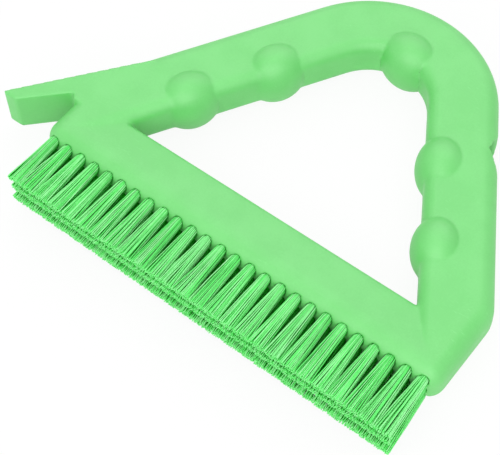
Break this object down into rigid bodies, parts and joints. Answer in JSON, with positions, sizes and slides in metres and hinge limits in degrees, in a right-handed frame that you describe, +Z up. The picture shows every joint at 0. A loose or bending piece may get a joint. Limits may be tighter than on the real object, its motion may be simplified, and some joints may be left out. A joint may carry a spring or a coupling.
{
  "type": "grout brush",
  "caption": "One-piece moulded triangular hand brush with ball grips round the hand opening, a scraper tab, a side pole socket and a narrow block of stiff bristle tufts for scrubbing grout.",
  "frame": {"origin": "middle of the overall box, on the surface that the brush lies on", "axes": "+X along the bristle block towards the end without the scraper, +Y from the bristle tips towards the apex of the handle, +Z up, square to the handle's flat faces"},
  "size_m": [0.261, 0.2049, 0.032],
  "materials": {
    "moulding": "satin",
    "bristles": "satin",
    "anchor_wire": "satin"
  },
  "bodies": {
    "root": {"handle_frame": "moulding", "tuft_front_01": "bristles", "tuft_front_02": "bristles", "tuft_front_03": "bristles", "tuft_front_04": "bristles", "tuft_front_05": "bristles", "tuft_front_06": "bristles", "tuft_front_07": "bristles", "tuft_front_08": "bristles", "tuft_front_09": "bristles", "tuft_front_10": "bristles", "tuft_front_11": "bristles", "tuft_front_12": "bristles", "tuft_front_13": "bristles", "tuft_front_14": "bristles", "tuft_front_15": "bristles", "tuft_front_16": "bristles", "tuft_front_17": "bristles", "tuft_front_18": "bristles", "tuft_front_19": "bristles", "tuft_front_20": "bristles", "tuft_front_21": "bristles", "tuft_front_22": "bristles", "tuft_front_23": "bristles", "tuft_front_24": "bristles", "tuft_front_25": "bristles", "tuft_front_26": "bristles", "tufts_middle_row": "bristles", "tuft_back_01": "bristles", "tuft_back_02": "bristles", "tuft_back_03": "bristles", "tuft_back_04": "bristles", "tuft_back_05": "bristles", "tuft_back_06": "bristles", "tuft_back_07": "bristles", "tuft_back_08": "bristles", "tuft_back_09": "bristles", "tuft_back_10": "bristles", "tuft_back_11": "bristles", "tuft_back_12": "bristles", "tuft_back_13": "bristles", "tuft_back_14": "bristles", "tuft_back_15": "bristles", "tuft_back_16": "bristles", "tuft_back_17": "bristles", "tuft_back_18": "bristles", "tuft_back_19": "bristles", "tuft_back_20": "bristles", "tuft_back_21": "bristles", "tuft_back_22": "bristles", "tuft_back_23": "bristles", "tuft_back_24": "bristles", "tuft_back_25": "bristles", "tuft_back_26": "bristles", "anchors_front_row": "anchor_wire", "anchors_middle_row": "anchor_wire", "anchors_back_row": "anchor_wire"}
  },
  "joints": []
}
